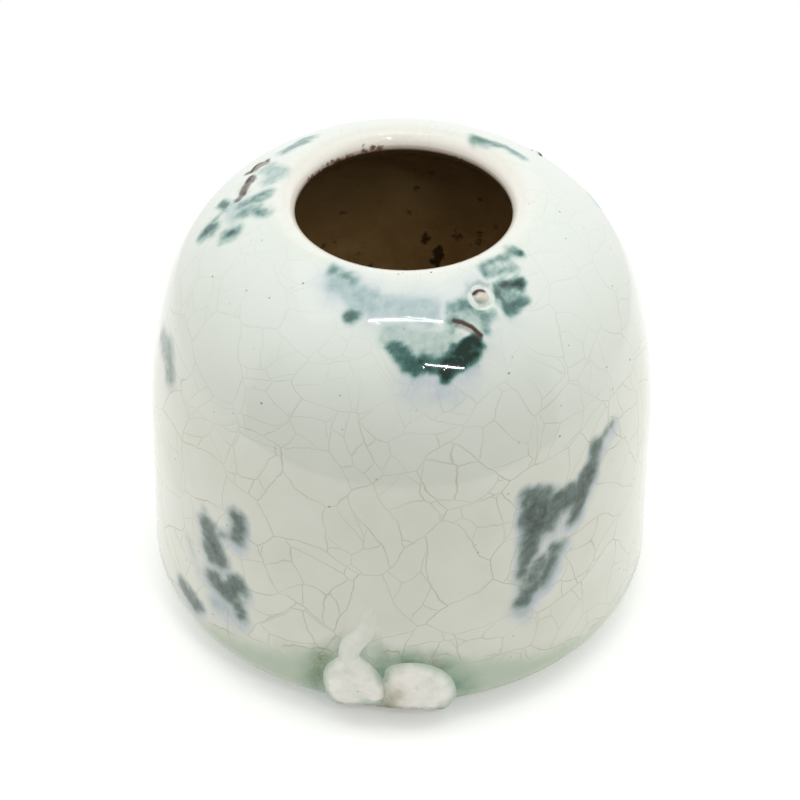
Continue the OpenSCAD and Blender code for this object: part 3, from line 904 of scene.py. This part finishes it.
pool_noise = add(tree, "TexNoise", {"Vector": place, "Scale": 1 / (6 * MM), "Detail": 3})
ragged = add(tree, "Math", {0: pool_noise, 1: 6, 2: carried["pool"]}, operation="MULTIPLY_ADD")
pool = add(
    tree, "MapRange", {"Value": ragged, "From Min": 1, "From Max": 8}, interpolation_type="SMOOTHSTEP"
)
pooled = add(tree, "Mix", {0: pool, 6: lip_with_painted_light, 7: linear("#B8C5B0")})
deep_noise = add(tree, "TexNoise", {"Vector": place, "Scale": 1 / (4 * MM), "Detail": 2})
deep_there = add(tree, "MapRange", {"Value": deep_noise, "From Min": 0.3, "From Max": 0.7, "To Min": 0.35})
deep = add(tree, "Math", {0: deep_there, 1: carried["near_foot"]}, operation="MULTIPLY", use_clamp=True)
deepened = add(tree, "Mix", {0: deep, 6: pooled, 7: linear("#6F957A")})

# Old cracks part the glaze into large cells. Each crazed in its own way, so young cracks end on older ones.
# The first crack runs up the back, where the wrapped map meets itself.
sway = add(tree, "TexNoise", {"Vector": place, "Scale": 1 / SWAY_SIZE, "Detail": 1}, normalize=False)
jag = add(tree, "TexNoise", {"Vector": place, "Scale": 1 / JAG_SIZE, "Detail": 2}, normalize=False)
swayed = add(tree, "VectorMath", {0: sway.outputs["Color"], "Scale": SWAY}, operation="SCALE")
astray = add(
    tree, "VectorMath", {0: jag.outputs["Color"], 1: [JAG] * 3, 2: swayed}, operation="MULTIPLY_ADD"
)
wandered = add(
    tree, "VectorMath", {0: place, 1: (1 / MM, -1 / MM, 1 / MM), 2: astray}, operation="MULTIPLY_ADD"
)
round_pot = add(tree, "SeparateXYZ", {"Vector": wandered})
turned = add(tree, "Math", {0: round_pot.outputs["X"], 1: round_pot.outputs["Y"]}, operation="ARCTAN2")
across = add(tree, "Math", {0: turned, 1: BODY_R / MM}, operation="MULTIPLY")
up_astray = add(tree, "SeparateXYZ", {"Vector": astray})
upward = add(tree, "Math", {0: carried["climb"], 1: up_astray.outputs["Z"]}, operation="ADD")
laid = add(tree, "CombineXYZ", {"X": across, "Y": upward})
from_front = add(tree, "Math", {0: across}, operation="ABSOLUTE")
half_round = pi * BODY_R / MM
either = add(
    tree, "MapRange", {"Value": from_front, "From Min": half_round - CRACK_WIDTH, "From Max": half_round}
)
parted = None
for pitch, strength, share in CRACK_AGES:
    net = {"Vector": laid, "Scale": 1 / pitch}
    edge = add(tree, "TexVoronoi", net, voronoi_dimensions="2D", feature="DISTANCE_TO_EDGE")
    cells = add(tree, "TexVoronoi", net, voronoi_dimensions="2D")
    off = add(tree, "Math", {0: edge, 1: carried["stretch"]}, operation="DIVIDE")
    line = add(
        tree, "MapRange", {"Value": off, "From Max": CRACK_WIDTH / pitch, "To Min": strength, "To Max": 0}
    )
    if parted:
        there = add(tree, "Math", {0: parted.outputs["Z"], 1: 1 - share}, operation="GREATER_THAN")
        free = add(tree, "Math", {0: there, 1: clear}, operation="MULTIPLY")
        line = add(tree, "Math", {0: line, 1: free}, operation="MULTIPLY")
    clear = add(tree, "MapRange", {"Value": off, "From Max": CRACK_CLEAR / pitch})
    either = add(tree, "Math", {0: either, 1: line}, operation="MAXIMUM")
    parted = add(tree, "SeparateXYZ", {"Vector": cells.outputs["Color"]})
    laid = add(
        tree,
        "VectorMath",
        {0: cells.outputs["Color"], 1: [CELL_SHIFT] * 3, 2: laid},
        operation="MULTIPLY_ADD",
    )
stain = add(tree, "TexNoise", {"Vector": place, "Scale": 1 / (10 * MM), "Detail": 2})
stained = add(
    tree, "MapRange", {"Value": stain, "From Min": 0.36, "From Max": 0.62, "To Min": 0.2, "To Max": 0.54}
)
higher = add(
    tree,
    "MapRange",
    {"Value": axes["Z"], "From Min": 58 * MM, "From Max": 84 * MM, "To Min": 1, "To Max": 0.2},
)
crack_stain = add(tree, "Math", {0: stained, 1: higher}, operation="MULTIPLY")
# Where the glaze lies thick at the foot it did not craze, and a browner crack runs along its edge
sound = add(tree, "MapRange", {"Value": ragged, "From Min": 6.5, "From Max": 4})
crazed_there = add(tree, "Math", {0: either, 1: sound}, operation="MULTIPLY")
rim_off = add(tree, "Math", {0: ragged, 1: 3.6}, operation="SUBTRACT")
rim_gap = add(tree, "Math", {0: rim_off}, operation="ABSOLUTE")
rim_line = add(tree, "MapRange", {"Value": rim_gap, "From Max": 0.3, "To Min": 1.2, "To Max": 0})
rim_patchy = add(tree, "MapRange", {"Value": pool_noise, "From Min": 0.46, "From Max": 0.6})
rim_seen = add(tree, "Math", {0: rim_line, 1: rim_patchy}, operation="MULTIPLY")
lines = add(tree, "Math", {0: crazed_there, 1: rim_seen}, operation="MAXIMUM")
crack_amount = add(tree, "Math", {0: lines, 1: crack_stain}, operation="MULTIPLY")
rim_brown = add(
    tree, "MapRange", {"Value": rim_gap, "From Min": 0.5, "From Max": 3.5, "To Min": 1, "To Max": 0}
)
stain_colour = add(tree, "Mix", {0: rim_brown, 6: linear("#968A5A"), 7: linear("#8C6420")})
crazed = add(tree, "Mix", {0: crack_amount, 6: deepened, 7: stain_colour})

# Cobalt wash: blue haze where it ran, grey-green to teal where it is thick, broken by the brush
haze_noise = add(tree, "TexNoise", {"Vector": place, "Scale": 1 / (2.5 * MM), "Detail": 3})
run_noise = add(tree, "TexNoise", {"Vector": place, "Scale": 1 / (3.5 * MM), "Detail": 2})
run_out = add(tree, "Math", {0: carried["wash_run"], 1: run_noise}, operation="MULTIPLY")
hazy = add(tree, "Math", {0: carried["cobalt_cloud"], 1: haze_noise, 2: run_out}, operation="MULTIPLY_ADD")
hazed = add(tree, "Mix", {0: hazy, 6: crazed, 7: linear("#AAB7CA")})
brush = add(tree, "TexNoise", {"Vector": place, "Scale": 1 / (1.7 * MM), "Detail": 4, "Roughness": 0.6})
patchy = add(
    tree,
    "MapRange",
    {"Value": brush, "From Min": 0.3, "From Max": 0.7, "To Min": 0.8, "To Max": 1.17},
    clamp=False,
)
thick = add(tree, "Math", {0: carried["wash"], 1: patchy}, operation="MULTIPLY")
covered = add(
    tree,
    "MapRange",
    {"Value": thick, "From Min": 0.04, "From Max": 0.8, "To Max": 0.97},
    interpolation_type="SMOOTHSTEP",
)
depth = add(tree, "MapRange", {"Value": thick, "From Min": 0.35, "From Max": 1.1})
up_high = add(tree, "MapRange", {"Value": axes["Z"], "From Min": 62 * MM, "From Max": 74 * MM})
wall_wash = add(tree, "Mix", {0: depth, 6: linear("#7F968B"), 7: linear("#1E322A")})
shoulder_wash = add(tree, "Mix", {0: depth, 6: linear("#669C94"), 7: linear("#00261C")})
wash_colour = add(tree, "Mix", {0: up_high, 6: wall_wash, 7: shoulder_wash})
washed = add(tree, "Mix", {0: covered, 6: hazed, 7: wash_colour})

# Bursts: pale beige floors and burnt brown edges, duller than the glaze
floor_amount = add(tree, "Math", {0: carried["burst_floor"], 1: 0.6}, operation="MULTIPLY")
floored = add(tree, "Mix", {0: floor_amount, 6: washed, 7: linear("#C6B49C")})
burn_patchy = add(tree, "Math", {0: carried["burn"], 1: patchy}, operation="MULTIPLY")
burnt = add(tree, "Mix", {0: burn_patchy, 6: floored, 7: linear("#3C2410")})
dull = add(tree, "MapRange", {"Value": carried["burn"], "To Min": GLAZE_ROUGHNESS, "To Max": BURN_ROUGHNESS})

# Pinholes and kiln dust: dark iron specks all over, and a grainy olive deposit beside the feet
nudge = add(tree, "TexNoise", {"Vector": place, "Scale": 1 / (0.5 * MM), "Detail": 1})
nudged = add(
    tree, "VectorMath", {0: nudge.outputs["Color"], 1: [0.5 * MM] * 3, 2: place}, operation="MULTIPLY_ADD"
)
pinholes = add(tree, "TexVoronoi", {"Vector": nudged, "Scale": 1 / PINHOLE_PITCH})
pinhole = add(
    tree, "MapRange", {"Value": pinholes, "From Min": 0.02, "From Max": 0.09, "To Min": 1, "To Max": 0}
)
pinhole_chance = add(tree, "SeparateXYZ", {"Vector": pinholes.outputs["Color"]}).outputs["Y"]
pinhole_few = add(tree, "MapRange", {"Value": pinhole_chance, "From Min": 0.4, "From Max": 0.9})
pinhole_amount = add(tree, "Math", {0: pinhole, 1: pinhole_few}, operation="MULTIPLY")
pinned = add(tree, "Mix", {0: pinhole_amount, 6: burnt, 7: linear("#55452E")})
grain = add(tree, "TexNoise", {"Vector": place, "Scale": 1 / (0.45 * MM), "Detail": 3, "Roughness": 0.7})
grainy = add(
    tree, "MapRange", {"Value": grain, "From Min": 0.42, "From Max": 0.66, "To Min": 0.15, "To Max": 0.75}
)
dusted = add(tree, "Math", {0: carried["kiln_dust"], 1: grainy}, operation="MULTIPLY")
dusty = add(tree, "Mix", {0: dusted, 6: pinned, 7: linear("#6E6A3C")})

# Rust: iron specks along the inside of the lip, and a thin scorched line where the glaze ends
speck = add(tree, "TexNoise", {"Vector": place, "Scale": 1 / (0.8 * MM), "Detail": 2})
rust_patchy = add(
    tree,
    "MapRange",
    {"Value": haze_noise, "From Min": 0.42, "From Max": 0.62, "To Min": 0.3, "To Max": 0.46},
)
rusty = add(tree, "Math", {0: carried["lip_rust"], 1: rust_patchy, 2: speck}, operation="MULTIPLY_ADD")
rust_speck = add(tree, "MapRange", {"Value": rusty, "From Min": 0.78, "From Max": 1.02, "To Max": 0.9})
rusted = add(tree, "Mix", {0: rust_speck, 6: dusty, 7: linear("#543E1C")})
scorched = add(tree, "Mix", {0: scorch, 6: rusted, 7: linear("#9A6A38")})
# A thin, patchy brown line low on the rounded lower edge
low_line_amount = add(tree, "Math", {0: carried["low_brown_line"], 1: haze_noise}, operation="MULTIPLY")
low_lined = add(tree, "Mix", {0: low_line_amount, 6: scorched, 7: linear("#6E5E3C")})

swell = add(tree, "TexNoise", {"Vector": place, "Scale": 1 / (15 * MM), "Detail": 0})
relief = add(tree, "Math", {0: crack_amount, 1: -0.2, 2: swell}, operation="MULTIPLY_ADD")
bump = add(tree, "Bump", {"Height": relief, "Distance": 0.12 * MM})
feed(shader, {"Base Color": low_lined, "Roughness": dull, "Normal": bump})


# Studio: a white table top, a wide soft box overhead with two thin strips of light, and pale walls.
# A graded grey card hangs round the front of the table, and shows in the glaze as a darker belt.
TABLE_R = 205 * MM
TABLE_GLOW = 0.3
WHITE = [1, 1, 1, 1]


def seen_itself(tree):
    """1 where a thing is looked at, straight, in a gloss or through glass, and 0 where it lights others."""
    path = add(tree, "LightPath").outputs
    seen = add(tree, "Math", {0: path["Is Camera Ray"], 1: path["Is Glossy Ray"]}, operation="MAXIMUM")
    return add(tree, "Math", {0: seen, 1: path["Is Transmission Ray"]}, operation="MAXIMUM")


bm = bmesh.new()
bmesh.ops.create_circle(bm, cap_ends=True, segments=96, radius=TABLE_R)
# White paper: dry, with a faint glow of its own that keeps it white round the shadow
paper, tree, shader, _ = new_finish("white_paper", roughness=0.9, ior=1.4)
glow = add(tree, "Math", {0: seen_itself(tree), 1: TABLE_GLOW}, operation="MULTIPLY")
feed(shader, {"Base Color": linear("#F2F2F0"), "Emission Color": WHITE, "Emission Strength": glow})
table = shaped("table_top", bm, paper)

# Card bent round the front of the table, behind the camera: grey below and paler above
CARD_R = 0.9
CARD_LOW = -0.36
CARD_HIGH = 0.62
CARD_SPREAD = radians(140)


def hang_card(name, low, high, start, spread, material):
    """Hangs a bent card between two heights, from a bearing round to the right, unseen by the camera."""
    bm = bmesh.new()
    low_end = bm.verts.new((CARD_R * sin(start), -CARD_R * cos(start), low))
    high_end = bm.verts.new((low_end.co.x, low_end.co.y, high))
    edge = bm.edges.new((low_end, high_end))
    bmesh.ops.spin(bm, geom=[low_end, high_end, edge], axis=(0, 0, 1), angle=spread, steps=48)
    card = shaped(name, bm, material)
    card.visible_camera = False


# Graded grey card: dull, so the glaze shows it as a soft belt
card_paper, tree, shader, place = new_finish("graded_card", roughness=0.9, ior=1.4)
card_height = add(tree, "SeparateXYZ", {"Vector": place}).outputs["Z"]
graded = add(
    tree,
    "MapRange",
    {"Value": card_height, "From Min": 0.28, "From Max": 0.58},
    interpolation_type="SMOOTHSTEP",
)
card_tone = add(tree, "Mix", {0: graded, 6: linear("#999997"), 7: linear("#D4D4D2")})
feed(shader, {"Base Color": card_tone})
hang_card("front_card", CARD_LOW, CARD_HIGH, -CARD_SPREAD / 2, CARD_SPREAD, card_paper)

# Grey cloth flag over the card on the right: it dims the sky in the shoulder's wash, which so looks deep
FLAG_HIGH = 1.45
FLAG_START = radians(-8)
FLAG_SPREAD = radians(64)
flag_cloth, tree, shader, _ = new_finish("flag_cloth", roughness=0.95, ior=1.4)
feed(shader, {"Base Color": linear("#7E7E7C")})
hang_card("front_flag", CARD_HIGH, FLAG_HIGH, FLAG_START, FLAG_SPREAD, flag_cloth)

world = bpy.data.worlds.new("studio_walls")
world.use_nodes = True
bpy.context.scene.world = world
tree = world.node_tree
walls = tree.nodes["Background"]
toward = add(tree, "SeparateXYZ", {"Vector": add(tree, "TexCoord").outputs["Generated"]})
rightward = add(tree, "MapRange", {"Value": toward.outputs["X"], "From Min": -0.7, "From Max": 0.7})
sides = add(tree, "Mix", {0: rightward, 6: linear("#FDFDFD"), 7: linear("#FFFFFF")})
shown = add(tree, "Mix", {0: seen_itself(tree), 6: sides, 7: WHITE})
feed(walls, {"Color": shown})
bpy.context.scene.view_settings.view_transform = "Standard"

# Lamps: where each hangs, its length and depth in metres, the turn of its length in plan, and its watts
LAMPS_FACE = Vector((0, 0, 60 * MM))
for name, at, size, turn, power in (
    ("overhead_soft_box", (0, 0.02, 0.75), (1.0, 0.42), 0, 1.1),
    ("ceiling_strip", (0.014, -0.21, 0.75), (0.33, 0.012), radians(1), 0.3),
    ("right_strip", (0.22, -0.507, 0.54), (0.21, 0.005), radians(-16), 0.6),
):
    lamp = bpy.data.lights.new(name, "AREA")
    lamp.shape = "RECTANGLE"
    lamp.size, lamp.size_y = size
    lamp.energy = power
    away = (Vector(at) - LAMPS_FACE).normalized()
    along = Vector((cos(turn), sin(turn), 0))
    along = (along - along.dot(away) * away).normalized()
    holder = bpy.data.objects.new(name, lamp)
    hung = Matrix((along, away.cross(along), away)).transposed()
    holder.matrix_world = Matrix.Translation(at) @ hung.to_4x4()
    bpy.context.collection.objects.link(holder)


# Camera: a long lens above the front, at the angle from which the photograph looks into the mouth.
CAMERA_HEIGHT_ANGLE = radians(39.36)
CAMERA_ROLL = radians(0.65)
CAMERA_AIM = Vector((-0.29 * MM, 0, 41 * MM))
CAMERA_AWAY = 680 * MM
camera = bpy.data.cameras.new("camera")
camera.sensor_width = 36
camera.lens = 159.5
camera.clip_start = 0.05
back = Vector((0, -cos(CAMERA_HEIGHT_ANGLE), sin(CAMERA_HEIGHT_ANGLE)))
holder = bpy.data.objects.new("camera", camera)
facing = back.to_track_quat("Z", "Y").to_matrix() @ Matrix.Rotation(CAMERA_ROLL, 3, "Z")
holder.matrix_world = Matrix.Translation(CAMERA_AIM + back * CAMERA_AWAY) @ facing.to_4x4()
bpy.context.collection.objects.link(holder)
bpy.context.scene.camera = holder
